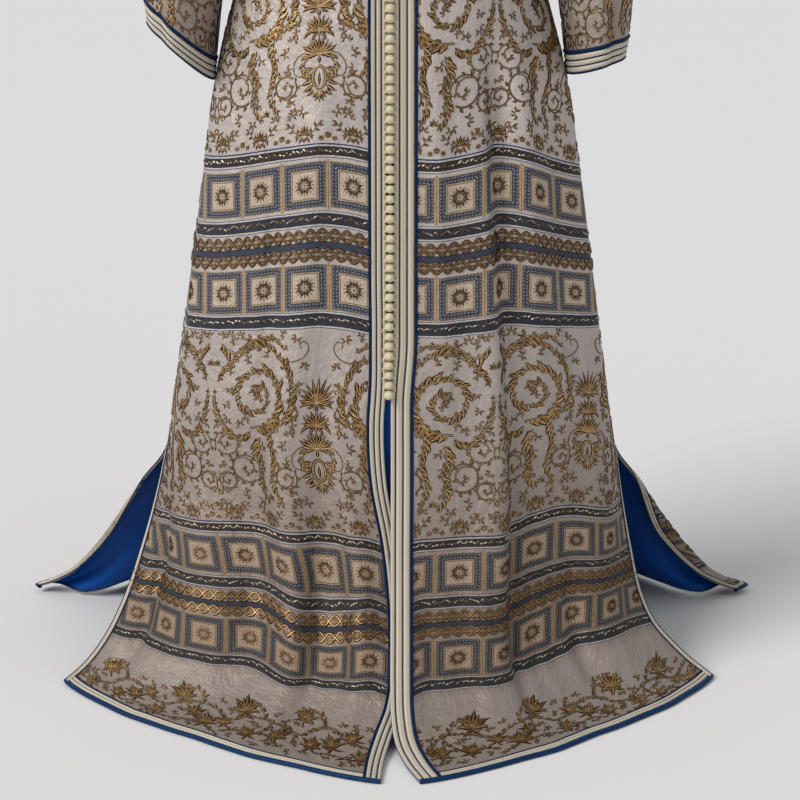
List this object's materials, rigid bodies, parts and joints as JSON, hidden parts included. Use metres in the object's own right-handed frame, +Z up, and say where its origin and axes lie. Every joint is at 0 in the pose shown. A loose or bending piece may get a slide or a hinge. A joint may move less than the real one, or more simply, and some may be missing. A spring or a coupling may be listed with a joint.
{
  "type": "moroccan kaftan, worn shape",
  "caption": "Full-length brocade kaftan standing hollow, with long sleeves, braided front edges, a close row of knotted buttons, side slits, blue lining and a short train.",
  "frame": {"origin": "the point between the shoulders that holds the kaftan up, level with the neck end of the shoulder seams, 1.46 m above the floor", "axes": "+Z up along the body, front towards -Y, the wearer's right side at -X"},
  "size_m": [1.065, 0.9282, 1.4607],
  "materials": {
    "brocade": "satin ground with gold and slate blue figures",
    "lining": "royal blue satin",
    "braid": "cream silk braid with navy cords",
    "button": "knotted cream and gold silk"
  },
  "bodies": {
    "root": {"front_right": "brocade", "front_left": "brocade", "back": "brocade", "sleeve_right": "brocade", "sleeve_left": "brocade", "lining_front_right": "lining", "lining_front_left": "lining", "lining_back": "lining", "underlap": "lining", "front_band_right": "braid", "front_band_left": "braid", "neck_band_back": "braid", "cuff_band_right": "braid", "cuff_band_left": "braid", "slit_band_front_right": "braid", "slit_band_front_left": "braid", "slit_band_back_right": "braid", "slit_band_back_left": "braid", "hem_band_front_right": "braid", "hem_band_front_left": "braid", "hem_band_back": "braid", "button_row": "button"}
  },
  "joints": []
}
